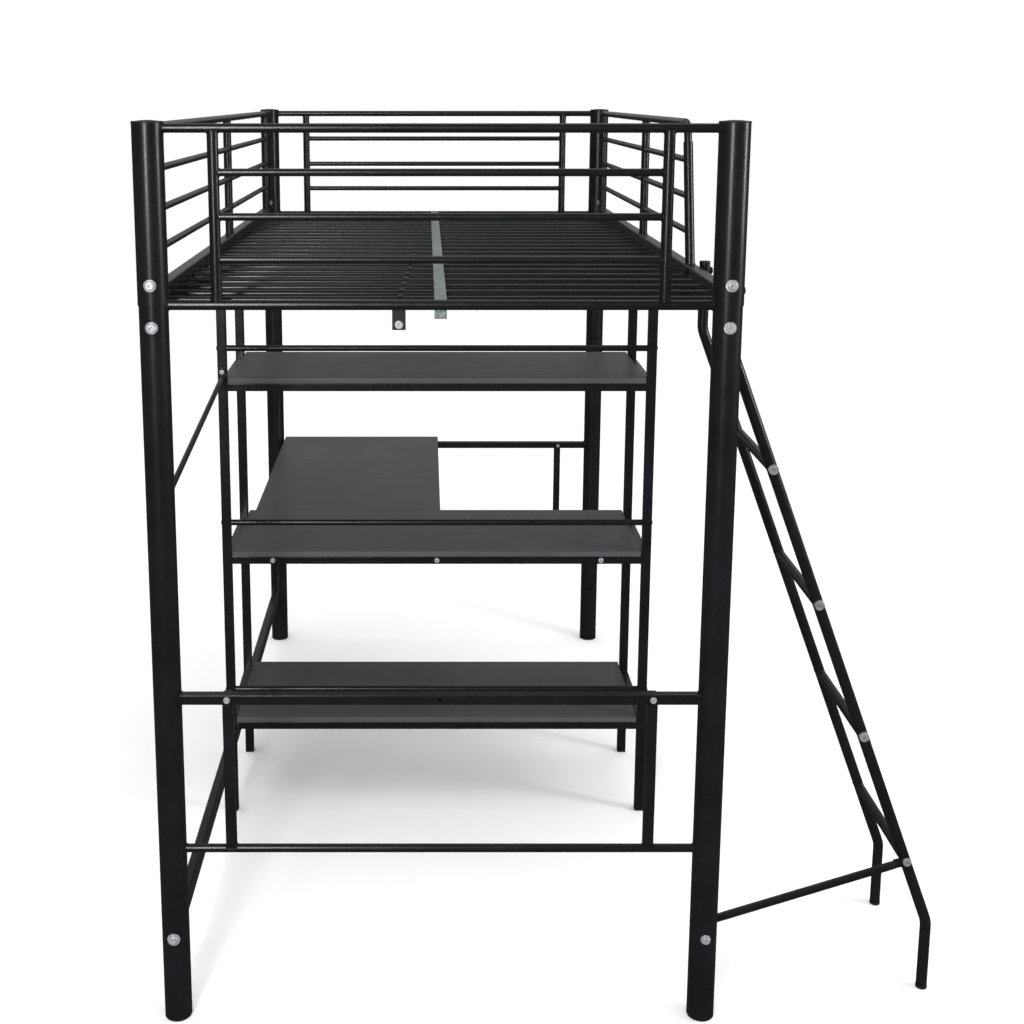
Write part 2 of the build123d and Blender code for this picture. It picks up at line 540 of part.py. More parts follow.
e0 = flat_end(q0, q1, 19.0, 3.0, 30.0)
e1 = flat_end(q1, q0, 19.0, 3.0, 26.0)


def taper(p, q, w, t, dia):
    """The stretch where the flat end opens out into the round tube."""
    pl0 = axis_plane(tuple(p), tuple(q), (0, 1, 0))
    pl1 = Plane(origin=tuple(q), x_dir=pl0.x_dir, z_dir=pl0.z_dir)
    return loft([pl0 * Ellipse(w / 2, t / 2), pl1 * Ellipse(dia / 2, dia / 2)])


t0 = taper(V(q0) + d * 22.0, V(q0) + d * 34.5, 18.6, 3.0, 15.8)
t1 = taper(V(q1) - d * 20.0, V(q1) - d * 30.5, 18.6, 3.0, 15.8)
lbrace = tube + e0 + e1 + t0 + t1
lbrace = lbrace - round_bar((q0[0], q0[1] - 10, q0[2]), (q0[0], q0[1] + 10, q0[2]), HOLE_D)
lbrace = lbrace - round_bar((q1[0], q1[1] - 10, q1[2]), (q1[0], q1[1] + 10, q1[2]), HOLE_D)
lbrace = lbrace - post_solid(1, 0.0, r=R_LOW) - round_bar((ladder_x(LADDER_FOOT_BEND_Z), LADDER_Y[0], LADDER_FOOT_BEND_Z), (LADDER_X, LADDER_Y[0], LADDER_BEND_Z), LADDER_D)
add("ladder_brace", lbrace)

# the side rail takes the ladder's hook bolts
sr = Part() + NODES["ladder_side_rail"][0]
for y in LADDER_Y:
    sr = sr - round_bar((500.0, y, hook_z), (600.0, y, hook_z), HOLE_D)
NODES["ladder_side_rail"] = solids_of(sr)

# ------------------------------------------------------------ fasteners
def pan_head(p, axis, d, h, hex_af=0.0, hex_depth=0.0):
    """Low domed head with a hexagon socket. p is the centre of the seat."""
    a = V(axis).normalized()
    base = round_bar(p, tuple(V(p) + a * h), d)
    rim = base.edges().filter_by(GeomType.CIRCLE)
    far_edge = max(rim, key=lambda e: (e.center() - V(p)).dot(a))
    base = fillet(far_edge, h * 0.62)
    if hex_af:
        pl = axis_plane(tuple(V(p) + a * (h - hex_depth)), tuple(V(p) + a * (h + 5)))
        base = base - extrude(pl * RegularPolygon(hex_af / 2, 6, major_radius=False), amount=hex_depth + 2)
    return base


def bolt(p, axis, shank, shank_d, head_d, head_h, af):
    """Bolt whose head seats at p and whose shank runs back along -axis."""
    a = V(axis).normalized()
    sh = round_bar(tuple(V(p) + a * 0.2), tuple(V(p) - a * shank), shank_d)
    return pan_head(p, axis, head_d, head_h, af, head_h * 0.6) + sh


def hex_nut(p, axis, af, h, bore):
    """Nut whose seat is at p and which stands along axis."""
    pl = axis_plane(p, tuple(V(p) + V(axis)))
    n = extrude(pl * (RegularPolygon(af / 2, 6, major_radius=False) - Circle(bore / 2)), amount=h)
    return n


post_bolts, saddles, nuts = [], [], []
for sx in SIDES:
    for y, out in ENDS:
        x = sx * POST_X
        for z in POST_BOLT_Z:
            r = R_UP if z > SPLIT_Z else R_LOW
            seat = y + out * (r + 1.8)
            # curved saddle washer on the post
            ring = post_solid(sx, y, z - 11, z + 11, r + 1.8) - post_solid(sx, y, z - 12, z + 12, r)
            keep = round_bar((x, y + out * 10, z), (x, y + out * 40, z), 23.0)
            saddle = (ring & keep) - round_bar((x, y - 60, z), (x, y + 60, z), HOLE_D)
            saddles.append(saddle)
            inner_seat = R_UP + 0.1 + BR_T
            post_bolts.append(bolt((x, seat, z), (0, out, 0), r + 1.8 + inner_seat + 7.2, BOLT_D, 18.0, 4.5, 6.0))
            nuts.append(hex_nut((x, y - out * inner_seat, z), (0, -out, 0), 13.0, 6.5, BOLT_D + 0.1))
# lower bolts: wall-side rail at both ends, ladder brace at the near end
for sx, y, out in ((-1, 0.0, -1), (-1, FAR, 1), (1, 0.0, -1)):
    x = sx * POST_X
    z = LOW_BOLT_Z
    ring = post_solid(sx, y, z - 13, z + 13, R_LOW + 1.8) - post_solid(sx, y, z - 14, z + 14, R_LOW)
    wd = 25.0 if sx < 0 else 19.5
    keep = round_bar((x, y + out * 8, z), (x, y + out * 40, z), wd)
    saddles.append((ring & keep) - round_bar((x, y - 60, z), (x, y + 60, z), HOLE_D))
    back = (R_LOW + 0.1 + BR_T) if sx < 0 else (R_LOW + 3.0)
    hd = 19.0 if sx < 0 else 16.5
    post_bolts.append(bolt((x, y + out * (R_LOW + 1.8), z), (0, out, 0), R_LOW + 1.8 + back + 9.0, BOLT_D, hd, 4.5, 6.0))
    nuts.append(hex_nut((x, y - out * back, z), (0, -out, 0), 13.0, 6.5, BOLT_D + 0.1))
add("post_bolts", post_bolts)
add("post_saddle_washers", saddles)
st_bolts, st_nuts = [], []
for y, out in ENDS:
    for sx in SIDES:
        x = sx * STRETCH_BOLT_X
        st_bolts.append(bolt((x, y + out * SQ / 2, STRETCH_Z), (0, out, 0), SQ + 3.0 + 6.5, SMALL_D, 13.0, 3.6, 4.0))
        st_nuts.append(hex_nut((x, y - out * (SQ / 2 + 3.0), STRETCH_Z), (0, -out, 0), 10.0, 5.0, SMALL_D + 0.1))
# middle shelf front rail: three bolts into the joists
zc = SHELF_TOP_Z[1] - PANEL_T - SQ / 2
for hx in (-STRETCH_BOLT_X, 0.0, STRETCH_BOLT_X):
    st_bolts.append(bolt((hx, SHELF_Y[0] - SQ / 2, zc), (0, -1, 0), SQ + 18.0, SMALL_D, 13.0, 3.6, 4.0))
# far desk bar bolt through the stretcher's middle hole
st_bolts.append(bolt((0.0, FAR + SQ / 2, STRETCH_Z), (0, 1, 0), SQ + 18.0, SMALL_D, 13.0, 3.6, 4.0))
# the wall-side brace's two bolts
st_bolts.append(bolt((bx, by0, BRACE_BOLT_Z[0]), (0, 1, 0), 9.0, SMALL_D, 12.0, 3.4, 4.0))
st_bolts.append(bolt((bx, by1, BRACE_BOLT_Z[1]), (0, -1, 0), 9.0, SMALL_D, 12.0, 3.4, 4.0))
# support bar tab bolt
tb = bar_loc * bolt((0, 0, 1404.0), (0, -1, 0), 9.0, SMALL_D, 16.0, 3.2, 4.0)
st_bolts.append(tb)
add("frame_bolts", st_bolts)
add("small_hex_nuts", st_nuts)

# the far cross rail: a bolt into the joist that ends there, studs where a desk bar carries on
st_bolts.append(bolt((STRETCH_BOLT_X, SHELF_Y[1] + SQ / 2, zc), (0, 1, 0), SQ + 18.0, SMALL_D, 13.0, 3.6, 4.0))
NODES["frame_bolts"] = solids_of(st_bolts)
add("desk_bar_studs", [round_bar((hx, SHELF_Y[1] - SQ / 2 - 14.0, zc), (hx, SHELF_Y[1] + SQ / 2 + 14.0, zc), SMALL_D) for hx in DESK_BAR_X])

# threaded plugs in the ends of the joists and desk bars, which the bolts and studs screw into
plugs = []


def bar_plug(x, ya, yb):
    p = box(x - 8.4, x + 8.4, ya, yb, zc - 8.4, zc + 8.4)
    return p - round_bar((x, ya - 1, zc), (x, yb + 1, zc), SMALL_D + 0.1)


for hx in (-STRETCH_BOLT_X, 0.0, STRETCH_BOLT_X):
    plugs.append(bar_plug(hx, SHELF_Y[0] + SQ / 2 + 1.0, SHELF_Y[0] + SQ / 2 + 16.0))
    plugs.append(bar_plug(hx, SHELF_Y[1] - SQ / 2 - 16.0, SHELF_Y[1] - SQ / 2 - 1.0))
for hx in DESK_BAR_X:
    plugs.append(bar_plug(hx, SHELF_Y[1] + SQ / 2 + 1.0, SHELF_Y[1] + SQ / 2 + 16.0))
plugs.append(bar_plug(0.0, FAR - SQ / 2 - 16.0, FAR - SQ / 2 - 1.0))
add("threaded_inserts", plugs + inserts)

small = []
for zt in SHELF_TOP_Z:
    zr = zt + RETAIN_UP
    for sx in SIDES:
        small.append(pan_head((sx * (SHELF_X + 11), SHELF_Y[0], zr), (sx, 0, 0), 10.0, 2.6))
add("shelf_rail_screws", small)

lad_bolts, lad_wash = [], []
for z in RUNG_Z:
    x = ladder_x(z)
    for y, out in ((LADDER_Y[0], -1), (LADDER_Y[1], 1)):
        w = 2.4
        extra = 3.1 if (out < 0 and z == RUNG_Z[3]) else 0.0
        hd = 17.0 if extra else 20.0
        seat = y + out * (LADDER_D / 2 + w + extra)
        ya, yb = sorted((y + out * (LADDER_D / 2 - 4.0 + (extra + 4.1 if extra else 0)), seat))
        wsh = round_bar((x, ya, z), (x, yb, z), hd - 1.0) - round_bar((x, ya - 1, z), (x, yb + 1, z), HOLE_D)
        if not extra:
            wsh = cut(wsh, *rail_solids)
        lad_wash.append(wsh)
        lad_bolts.append(bolt((x, seat, z), (0, out, 0), LADDER_D + w + extra + 14.0, BOLT_D, hd, 4.0, 6.0))
for y in LADDER_Y:
    seat = LADDER_X + LADDER_D / 2 + 1.5
    ring = round_bar((LADDER_X, y, hook_z - 8), (LADDER_X, y, hook_z + 8), LADDER_D + 3.0) - round_bar((LADDER_X, y, hook_z - 9), (LADDER_X, y, hook_z + 9), LADDER_D)
    ring = ring & round_bar((LADDER_X + 2, y, hook_z), (LADDER_X + 30, y, hook_z), 16.0)
    lad_wash.append(ring - round_bar((LADDER_X, y, hook_z), (LADDER_X + 40, y, hook_z), HOLE_D))
    lad_bolts.append(bolt((seat, y, hook_z), (1, 0, 0), 54.0, BOLT_D, 15.0, 4.0, 5.0))
add("ladder_bolts", lad_bolts)
add("ladder_washers", lad_wash)
hook_nuts = [hex_nut((SIDE_X - SIDE_W / 2, y, hook_z), (-1, 0, 0), 13.0, 5.5, BOLT_D + 0.1) for y in LADDER_Y]
add("large_hex_nuts", nuts + hook_nuts)

# ------------------------------------------------------------ move to the row frame and write
everything = [s for group in NODES.values() for s in group]
lo = [min(tuple(s.bounding_box().min)[i] for s in everything) for i in range(3)]
hi = [max(tuple(s.bounding_box().max)[i] for s in everything) for i in range(3)]
shift = (-(lo[0] + hi[0]) / 2, -(lo[1] + hi[1]) / 2, -lo[2])
print("size mm", [round(h - l, 2) for l, h in zip(lo, hi)], "shift", [round(v, 3) for v in shift])

os.makedirs("parts", exist_ok=True)
for name, group in NODES.items():
    moved = [Pos(*shift) * s for s in group]
    out = moved[0] if len(moved) == 1 else Compound(children=moved)
    out.label = name
    export_step(out, f"parts/{name}.step")
print(len(NODES), "nodes")
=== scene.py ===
import math
import random

import bmesh
import bpy
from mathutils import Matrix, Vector, noise


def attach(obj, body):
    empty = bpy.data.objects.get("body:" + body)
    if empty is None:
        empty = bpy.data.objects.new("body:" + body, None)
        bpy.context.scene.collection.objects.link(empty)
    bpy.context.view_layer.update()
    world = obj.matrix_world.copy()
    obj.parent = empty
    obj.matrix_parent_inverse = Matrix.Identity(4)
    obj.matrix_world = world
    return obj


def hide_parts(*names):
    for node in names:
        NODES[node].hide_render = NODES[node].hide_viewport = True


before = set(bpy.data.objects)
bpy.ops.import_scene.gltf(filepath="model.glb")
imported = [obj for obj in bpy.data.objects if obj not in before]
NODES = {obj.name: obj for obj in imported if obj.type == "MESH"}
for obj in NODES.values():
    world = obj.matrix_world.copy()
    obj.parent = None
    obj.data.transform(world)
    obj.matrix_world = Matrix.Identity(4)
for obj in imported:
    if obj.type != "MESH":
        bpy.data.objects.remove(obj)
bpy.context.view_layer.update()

SCENE = bpy.context.scene

# Working coordinates of the bed in millimetres: X from the centre line, Y from
# the near posts, Z from the floor. row() turns them into the shared frame.
SHIFT = Vector((-0.22923, -0.970, 0.0))


def row(x, y, z):
    return Vector((x, y, z)) / 1000.0 + SHIFT


# ------------------------------------------------------------------ materials
def new_mat(name):
    m = bpy.data.materials.new(name)
    m.use_nodes = True
    nt = m.node_tree
    nt.nodes.clear()
    out = nt.nodes.new("ShaderNodeOutputMaterial")
    bs = nt.nodes.new("ShaderNodeBsdfPrincipled")
    nt.links.new(bs.outputs[0], out.inputs["Surface"])
    tc = nt.nodes.new("ShaderNodeTexCoord")
    return m, nt, bs, tc.outputs["Object"]


def noise_tex(nt, vec, scale, detail=3.0, rough=0.5, distort=0.0, stretch=None):
    if stretch is not None:
        mp = nt.nodes.new("ShaderNodeMapping")
        mp.inputs["Scale"].default_value = stretch
        nt.links.new(vec, mp.inputs["Vector"])
        vec = mp.outputs[0]
    n = nt.nodes.new("ShaderNodeTexNoise")
    n.inputs["Scale"].default_value = scale
    n.inputs["Detail"].default_value = detail
    n.inputs["Roughness"].default_value = rough
    n.inputs["Distortion"].default_value = distort
    nt.links.new(vec, n.inputs["Vector"])
    return n.outputs["Fac"]


def ramp(nt, fac, stops):
    r = nt.nodes.new("ShaderNodeValToRGB")
    e = r.color_ramp.elements
    while len(e) < len(stops):
        e.new(0.5)
    for el, (p, c) in zip(e, stops):
        el.position = p
        el.color = (*c, 1.0) if len(c) == 3 else c
    nt.links.new(fac, r.inputs[0])
    return r.outputs[0]


def remap(nt, fac, a, b, lo=0.0, hi=1.0):
    m = nt.nodes.new("ShaderNodeMapRange")
    m.inputs["From Min"].default_value = lo
    m.inputs["From Max"].default_value = hi
    m.inputs["To Min"].default_value = a
    m.inputs["To Max"].default_value = b
    nt.links.new(fac, m.inputs["Value"])
    return m.outputs[0]


def math_node(nt, op, a, b):
    m = nt.nodes.new("ShaderNodeMath")
    m.operation = op
    for i, v in enumerate((a, b)):
        if isinstance(v, (int, float)):
            m.inputs[i].default_value = v
        else:
            nt.links.new(v, m.inputs[i])
    return m.outputs[0]


def mix_col(nt, fac, a, b):
    m = nt.nodes.new("ShaderNodeMix")
    m.data_type = "RGBA"
    if isinstance(fac, (int, float)):
        m.inputs[0].default_value = fac
    else:
        nt.links.new(fac, m.inputs[0])
    for sock, v in ((m.inputs[6], a), (m.inputs[7], b)):
        if isinstance(v, (tuple, list)):
            sock.default_value = (*v, 1.0)
        else:
            nt.links.new(v, sock)
    return m.outputs[2]


def bump(nt, bs, height, strength, dist, normal=None):
    b = nt.nodes.new("ShaderNodeBump")
    b.inputs["Strength"].default_value = strength
    b.inputs["Distance"].default_value = dist
    nt.links.new(height, b.inputs["Height"])
    if normal is not None:
        nt.links.new(normal, b.inputs["Normal"])
    nt.links.new(b.outputs[0], bs.inputs["Normal"])
    return b.outputs[0]


def edge_mask(nt, radius):
    """1 on edges sharper than the radius, 0 on flats, from the bevelled normal."""
    bv = nt.nodes.new("ShaderNodeBevel")
    bv.samples = 4
    bv.inputs["Radius"].default_value = radius
    geo = nt.nodes.new("ShaderNodeNewGeometry")
    dot = nt.nodes.new("ShaderNodeVectorMath")
    dot.operation = "DOT_PRODUCT"
    nt.links.new(bv.outputs[0], dot.inputs[0])
    nt.links.new(geo.outputs["Normal"], dot.inputs[1])
    return remap(nt, dot.outputs["Value"], 1.0, 0.0, 0.80, 0.995), bv.outputs[0]


def powder(name, base=(0.0043, 0.0046, 0.0058), rough=0.27, grain=850.0, wear=0.5):
    """Satin black powder coat: orange peel, slow gloss changes, dust, rubbed edges."""
    m, nt, bs, vec = new_mat(name)
    slow = noise_tex(nt, vec, 7.0, 3.0, 0.55)
    peel = noise_tex(nt, vec, grain, 2.0, 0.5)
    cloud = noise_tex(nt, vec, 60.0, 4.0, 0.6)
    speck = noise_tex(nt, vec, 2600.0, 1.0, 0.4)
    light = tuple(c * 1.75 for c in base)
    col = ramp(nt, slow, [(0.30, base), (0.72, light)])
    dust = remap(nt, speck, 0.0, 0.22, 0.72, 0.84)
    col = mix_col(nt, dust, col, (0.020, 0.020, 0.022))
    edge, bev = edge_mask(nt, 0.0011)
    rub = math_node(nt, "MULTIPLY", edge, remap(nt, cloud, 0.0, wear, 0.42, 0.66))
    col = mix_col(nt, rub, col, (0.026, 0.027, 0.030))
    nt.links.new(col, bs.inputs["Base Color"])
    r1 = remap(nt, cloud, rough - 0.03, rough + 0.06, 0.3, 0.7)
    nt.links.new(math_node(nt, "ADD", r1, math_node(nt, "MULTIPLY", rub, 0.12)), bs.inputs["Roughness"])
    bs.inputs["Specular IOR Level"].default_value = 0.50
    bs.inputs["Coat Weight"].default_value = 0.12
    bs.inputs["Coat Roughness"].default_value = 0.16
    bump(nt, bs, math_node(nt, "ADD", peel, math_node(nt, "MULTIPLY", cloud, 0.35)), 0.13, 0.00016, bev)
    return m


def board(name, base=(0.0430, 0.0445, 0.0490), rough=0.40, edge_light=1.0):
    """Charcoal melamine on particle board: fine pressed grain, soft clouding."""
    m, nt, bs, vec = new_mat(name)
    base = tuple(c * edge_light for c in base)
    slow = noise_tex(nt, vec, 4.0, 4.0, 0.6, 0.3)
    pores = noise_tex(nt, vec, 1500.0, 3.0, 0.62)
    streak = noise_tex(nt, vec, 46.0, 5.0, 0.65, 0.4, (0.16, 1.0, 1.0))
    fleck = noise_tex(nt, vec, 900.0, 1.0, 0.3)
    a = ramp(nt, slow, [(0.28, base), (0.75, tuple(c * 1.28 for c in base))])
    b = mix_col(nt, remap(nt, streak, 0.0, 0.28, 0.45, 0.8), a, tuple(c * 1.7 for c in base))
    c = mix_col(nt, remap(nt, fleck, 0.0, 0.4, 0.66, 0.8), b, tuple(c * 0.55 for c in base))
    edge, bev = edge_mask(nt, 0.0009)
    rub = math_node(nt, "MULTIPLY", edge, remap(nt, slow, 0.15, 0.6, 0.3, 0.7))
    c = mix_col(nt, rub, c, (0.075, 0.075, 0.078))
    nt.links.new(c, bs.inputs["Base Color"])
    nt.links.new(remap(nt, math_node(nt, "ADD", slow, math_node(nt, "MULTIPLY", streak, 0.5)), rough - 0.06, rough + 0.10, 0.5, 1.0), bs.inputs["Roughness"])
    bs.inputs["Specular IOR Level"].default_value = 0.55
    bump(nt, bs, pores, 0.30, 0.00012, bev)
    return m


def plastic(name, base=(0.0060, 0.0060, 0.0068), rough=0.42):
    """Moulded black plastic with a spark-eroded grain and rubbed rims."""
    m, nt, bs, vec = new_mat(name)
    grain = nt.nodes.new("ShaderNodeTexVoronoi")
    grain.inputs["Scale"].default_value = 1700.0
    nt.links.new(vec, grain.inputs["Vector"])
    slow = noise_tex(nt, vec, 38.0, 4.0, 0.6)
    edge, bev = edge_mask(nt, 0.0009)
    rub = math_node(nt, "MULTIPLY", edge, remap(nt, slow, 0.1, 0.75, 0.35, 0.65))
    col = mix_col(nt, rub, ramp(nt, slow, [(0.3, base), (0.7, tuple(c * 1.5 for c in base))]), (0.06, 0.06, 0.062))
    nt.links.new(col, bs.inputs["Base Color"])
    nt.links.new(remap(nt, slow, rough - 0.06, rough + 0.12, 0.3, 0.7), bs.inputs["Roughness"])
    bs.inputs["IOR"].default_value = 1.49
    bump(nt, bs, grain.outputs["Distance"], 0.35, 0.00016, bev)
    return m


def zinc(name, base=(0.60, 0.61, 0.64), rough=0.30, dark=(0.17, 0.17, 0.18)):
    """Bright zinc plate on pressed steel: fine tooling, handling stains."""
    m, nt, bs, vec = new_mat(name)
    slow = noise_tex(nt, vec, 90.0, 4.0, 0.6, 0.5)
    fine = noise_tex(nt, vec, 2400.0, 2.0, 0.5)
    lines = noise_tex(nt, vec, 700.0, 2.0, 0.5, 0.0, (1.0, 0.15, 1.0))
    edge, bev = edge_mask(nt, 0.0006)
    col = ramp(nt, slow, [(0.25, dark), (0.46, tuple(c * 0.8 for c in base)), (0.72, base)])
    col = mix_col(nt, math_node(nt, "MULTIPLY", edge, 0.55), col, tuple(min(1, c * 1.3) for c in base))
    nt.links.new(col, bs.inputs["Base Color"])
    bs.inputs["Metallic"].default_value = 0.55
    nt.links.new(remap(nt, slow, rough + 0.16, rough - 0.04, 0.3, 0.7), bs.inputs["Roughness"])
    bump(nt, bs, math_node(nt, "ADD", fine, lines), 0.35, 0.00010, bev)
    return m


def galvanised(name):
    """Dull hot-dip strip: crystal spangle, drawn lines, grey-green tone."""
    m, nt, bs, vec = new_mat(name)
    vo = nt.nodes.new("ShaderNodeTexVoronoi")
    vo.inputs["Scale"].default_value = 210.0
    vo.inputs["Randomness"].default_value = 1.0
    nt.links.new(vec, vo.inputs["Vector"])
    slow = noise_tex(nt, vec, 24.0, 4.0, 0.65, 0.6)
    lines = noise_tex(nt, vec, 900.0, 2.0, 0.5, 0.0, (1.0, 0.06, 1.0))
    sp = nt.nodes.new("ShaderNodeSeparateColor")
    nt.links.new(vo.outputs["Color"], sp.inputs[0])
    a = ramp(nt, sp.outputs[0], [(0.0, (0.25, 0.295, 0.28)), (0.5, (0.37, 0.43, 0.41)), (1.0, (0.52, 0.58, 0.555))])
    b = mix_col(nt, remap(nt, slow, 0.0, 0.6, 0.42, 0.7), a, (0.20, 0.245, 0.235))
    nt.links.new(b, bs.inputs["Base Color"])
    bs.inputs["Metallic"].default_value = 0.8
    nt.links.new(remap(nt, sp.outputs[1], 0.36, 0.55), bs.inputs["Roughness"])
    edge, bev = edge_mask(nt, 0.0006)
    bump(nt, bs, math_node(nt, "ADD", sp.outputs[2], lines), 0.28, 0.00012, bev)
    return m


M_TUBE = powder("powder_coat_post", rough=0.29)
M_THIN = powder("powder_coat_tube", base=(0.0040, 0.0043, 0.0054), rough=0.27, grain=1000.0, wear=0.45)
M_SLAT = powder("powder_coat_slat", base=(0.0038, 0.0043, 0.0056), rough=0.28, grain=1000.0, wear=0.5)
M_WELD = powder("powder_coat_weld", base=(0.0050, 0.0052, 0.0062), rough=0.34, grain=1500.0, wear=0.8)
M_PLATE = powder("powder_coat_plate", base=(0.0045, 0.0047, 0.0056), rough=0.36, grain=1100.0, wear=0.9)
M_BOARD = board("charcoal_melamine")
M_BAND = board("charcoal_edge_band", rough=0.44, edge_light=1.25)
M_PLAST = plastic("moulded_black_plastic")
M_ZINC = zinc("zinc_plate")
M_ZINC_D = zinc("zinc_plate_dull", base=(0.40, 0.41, 0.43), rough=0.40, dark=(0.12, 0.12, 0.13))
M_GALV = galvanised("galvanised_strip_metal")
M_RIVET = powder("worn_rivet_head", base=(0.030, 0.031, 0.034), rough=0.36, grain=1600.0, wear=1.0)
M_SCREW = powder("black_oxide", base=(0.020, 0.020, 0.022), rough=0.33, grain=1800.0, wear=1.0)

SPECIAL = {
    "post_upper_tubes": M_TUBE, "post_lower_tubes": M_TUBE,
    "slats": M_SLAT,
    "post_top_caps": M_PLAST, "post_foot_caps": M_PLAST, "shelf_foot_plugs": M_PLAST, "ladder_end_caps": M_PLAST,
    "post_bolts": M_ZINC, "post_saddle_washers": M_ZINC, "frame_bolts": M_ZINC, "desk_bar_studs": M_ZINC,
    "large_hex_nuts": M_ZINC_D, "small_hex_nuts": M_ZINC_D, "threaded_inserts": M_ZINC_D,
    "ladder_bolts": M_ZINC_D, "ladder_washers": M_ZINC_D,
    "slat_tie_strip": M_GALV, "slat_bar_rivets": M_RIVET, "shelf_rail_screws": M_SCREW,
    "side_rail_brackets": M_PLATE, "wall_lower_rail_brackets": M_PLATE,
    "slat_support_bar": M_PLATE,
}
for name, ob in NODES.items():
    mat = SPECIAL.get(name) or (M_BOARD if name.endswith("_panel") else M_THIN)
    ob.data.materials.clear()
    ob.data.materials.append(mat)


# the two bolts that hang the ladder on the side rail are blackened, the rung bolts are not
M_BLACK_BOLT = powder("blackened_bolt", base=(0.0060, 0.0060, 0.0068), rough=0.34, grain=1700.0, wear=1.0)
for name in ("ladder_bolts", "ladder_washers", "large_hex_nuts"):
    me = NODES[name].data
    me.materials.append(M_BLACK_BOLT)
    for poly in me.polygons:
        c = poly.center
        if c.z > 1.44 and c.z < 1.474 and c.x > 0.28 and c.y < -0.55:
            poly.material_index = 1


# ------------------------------------------------------------------ mesh helpers
def mesh_object(name, bm, mat, smooth=True):
    bmesh.ops.recalc_face_normals(bm, faces=bm.faces)
    for f in bm.faces:
        f.smooth = smooth
    me = bpy.data.meshes.new(name)
    bm.to_mesh(me)
    bm.free()
    ob = bpy.data.objects.new(name, me)
    SCENE.collection.objects.link(ob)
    me.materials.append(mat)
    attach(ob, "root")
    return ob


def ring_band(bm, centres, frames, section, closed=True):
    """Sweeps section(i) -> [(a, b)] in frame (e1, e2) around a loop of centres."""
    loops = []
    for i, (c, (e1, e2)) in enumerate(zip(centres, frames)):
        loops.append([bm.verts.new(c + e1 * a + e2 * b) for a, b in section(i)])
    n = len(loops)
    for i in range(n if closed else n - 1):
        A, B = loops[i], loops[(i + 1) % n]
        k = len(A)
        for j in range(k):
            bm.faces.new((A[j], A[(j + 1) % k], B[(j + 1) % k], B[j]))
    if not closed:
        bm.faces.new(loops[0])
        bm.faces.new(list(reversed(loops[-1])))


def perp(d):
    a = Vector((0, 0, 1)) if abs(d.z) < 0.9 else Vector((1, 0, 0))
    u = d.cross(a).normalized()
    return u, d.cross(u).normalized()


def round_section(r, n=36):
    return [(r * math.cos(2 * math.pi * i / n), r * math.sin(2 * math.pi * i / n)) for i in range(n)]


def square_section(w, h, rc=2.0, per_side=8, per_corner=4):
    pts = []
    for k, (sx, sy) in enumerate(((1, 1), (-1, 1), (-1, -1), (1, -1))):
        cx, cy = sx * (w / 2 - rc), sy * (h / 2 - rc)
        a0 = math.pi / 2 * k
        for j in range(per_corner + 1):
            a = a0 + math.pi / 2 * j / per_corner
            pts.append((cx + rc * math.cos(a), cy + rc * math.sin(a)))
        # straight side to the next corner
        nx, ny = ((-1, 1), (-1, -1), (1, -1), (1, 1))[k]
        a = a0 + math.pi / 2
        q0 = pts[-1]
        q1 = (nx * (w / 2 - rc) + rc * math.cos(a), ny * (h / 2 - rc) + rc * math.sin(a))
        for j in range(1, per_side):
            t = j / per_side
            pts.append((q0[0] + (q1[0] - q0[0]) * t, q0[1] + (q1[1] - q0[1]) * t))
    return pts


RNG = random.Random(41)


def weld(bm, c, d, section, host, rho=1.6, stop=None):
    """A fillet bead where a tube of that section, running along d from c, meets
    the host surface. All in bed millimetres. stop is the furthest travel."""
    c, d = Vector(c), Vector(d).normalized()
    u, v = perp(d)
    ring, outs = [], []
    for a, b in section:
        p = c + u * a + v * b
        if host[0] == "plane":
            _, hp, hn = host
            hn = Vector(hn)
            t = (Vector(hp) - p).dot(hn) / d.dot(hn)
        else:
            _, hc, ha, R = host
            ha = Vector(ha).normalized()
            q = p - Vector(hc)
            q = q - ha * q.dot(ha)
            e = d - ha * d.dot(ha)
            A, B = e.dot(e), 2 * q.dot(e)
            rad = R(p) if callable(R) else R
            disc = B * B - 4 * A * (q.dot(q) - rad * rad)
            t = (-B - math.sqrt(max(disc, 0.0))) / (2 * A)
        if stop is not None:
            t = min(t, stop)
        ring.append(p + d * t)
        outs.append((u * a + v * b).normalized())
    n = len(ring)
    run = sum((ring[(i + 1) % n] - ring[i]).length for i in range(n))
    ripples = max(8, int(run / 2.3))
    ph = RNG.random() * 6.28
    sizes = []
    s = 0.0
    for i in range(n):
        ang = 2 * math.pi * s / run
        wob = noise.noise(Vector((ring[i].x * 0.11, ring[i].y * 0.11, ring[i].z * 0.11)))
        sizes.append(rho * (1.0 + 0.16 * math.sin(ripples * ang + ph) + 0.25 * wob))
        s += (ring[(i + 1) % n] - ring[i]).length
    cs = [row(*p) for p in ring]
    frames = [(o, -d) for o in outs]

    def sec(i):
        r = sizes[i] / 1000.0
        return [(r * x, r * y) for x, y in ((1.0, -0.05), (0.86, 0.50), (0.5, 0.86), (-0.05, 1.0), (-0.55, 0.2), (-0.55, -0.55), (0.2, -0.55))]

    ring_band(bm, cs, frames, sec)


# ------------------------------------------------------------------ weld beads
POST_X, FAR = 525.0, 1940.0
DECK_Z, TOP_Z = 1444.0, 1763.5
SIDE_X, SIDE_TOP = 534.5, 1468.0
END_BARS, SIDE_BARS = (1684.7, 1604.8, 1526.7), (1685.0, 1608.5, 1534.5)


def dense(section_fn, *a):
    return section_fn(*a)


R85, R95, R70, R80, R1025, R825, R75 = (round_section(r, 48) for r in (8.5, 9.5, 7.0, 8.0, 10.25, 8.25, 7.5))
SQ20, SQ22 = square_section(20, 20), square_section(22, 22)


def post_r(p):
    return 28.5 if p.z >= DECK_Z else 27.0


